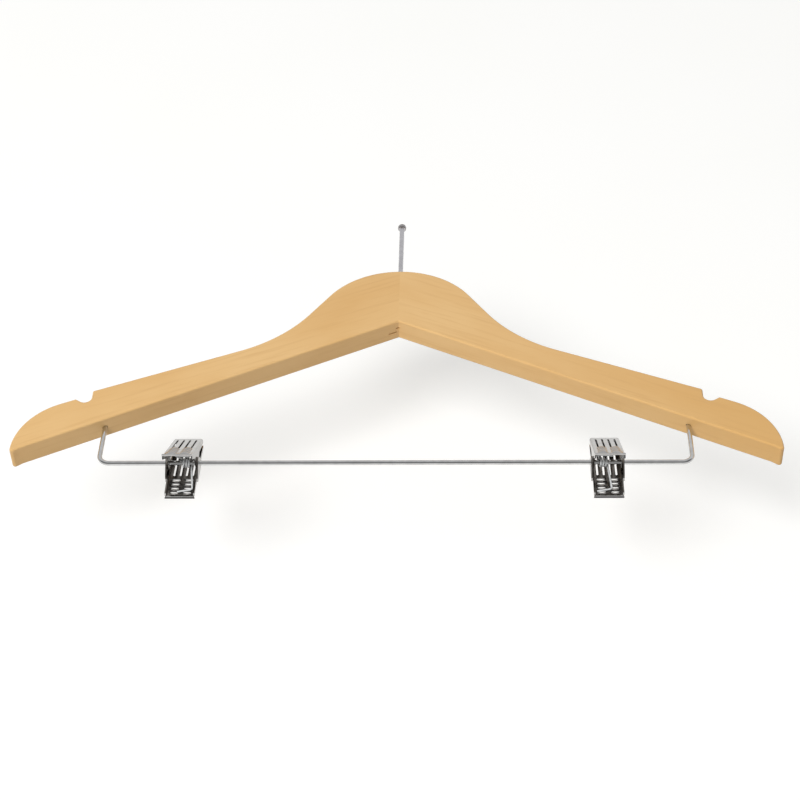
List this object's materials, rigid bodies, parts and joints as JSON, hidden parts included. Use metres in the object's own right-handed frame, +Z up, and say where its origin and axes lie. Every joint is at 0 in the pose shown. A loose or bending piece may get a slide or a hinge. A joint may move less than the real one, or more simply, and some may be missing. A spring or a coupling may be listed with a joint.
{
  "type": "trouser hanger",
  "caption": "Wooden trouser hanger with a ball-headed security pin and sprung metal clips that slide and turn on a wire trouser bar.",
  "frame": {"origin": "on the axis of the security pin, at the underside of its ball head", "axes": "+X across the width, +Y towards the back, +Z up along the security pin"},
  "size_m": [0.445, 0.0333, 0.2426],
  "materials": {
    "wood": "satin lacquer",
    "pin_steel": "polished",
    "bar_steel": "polished",
    "clip_steel": "polished",
    "spring_steel": "bright"
  },
  "bodies": {
    "hanger": {"left_arm": "wood", "right_arm": "wood", "security_pin": "pin_steel", "trouser_bar": "bar_steel"},
    "left_clip_spring_body": {"left_clip_spring": "spring_steel"},
    "left_clip_back": {"left_clip_back_plate": "clip_steel"},
    "left_clip_front": {"left_clip_front_plate": "clip_steel"},
    "right_clip_spring_body": {"right_clip_spring": "spring_steel"},
    "right_clip_back": {"right_clip_back_plate": "clip_steel"},
    "right_clip_front": {"right_clip_front_plate": "clip_steel"}
  },
  "joints": [
    {"name": "left_clip_slide", "type": "slide", "parent": "hanger", "child": "left_clip_spring_body", "axis": [1, 0, 0], "range_m": [-0.031, 0.112]},
    {"name": "left_clip_swing", "type": "hinge", "parent": "left_clip_spring_body", "child": "left_clip_back", "pos_m": [-0.122, 0, -0.21508], "axis": [1, 0, 0], "continuous": true, "deforming": ["left_clip_spring"]},
    {"name": "left_clip_squeeze", "type": "hinge", "parent": "left_clip_back", "child": "left_clip_front", "pos_m": [-0.122, 0, -0.21508], "axis": [1, 0, 0], "range_deg": [0, 40], "stiffness_Nm_per_rad": 0.1, "springref_deg": -5.73, "deforming": ["left_clip_spring"]},
    {"name": "right_clip_slide", "type": "slide", "parent": "hanger", "child": "right_clip_spring_body", "axis": [1, 0, 0], "range_m": [-0.112, 0.031]},
    {"name": "right_clip_swing", "type": "hinge", "parent": "right_clip_spring_body", "child": "right_clip_back", "pos_m": [0.122, 0, -0.21508], "axis": [1, 0, 0], "continuous": true, "deforming": ["right_clip_spring"]},
    {"name": "right_clip_squeeze", "type": "hinge", "parent": "right_clip_back", "child": "right_clip_front", "pos_m": [0.122, 0, -0.21508], "axis": [1, 0, 0], "range_deg": [0, 40], "stiffness_Nm_per_rad": 0.1, "springref_deg": -5.73, "deforming": ["right_clip_spring"]}
  ]
}
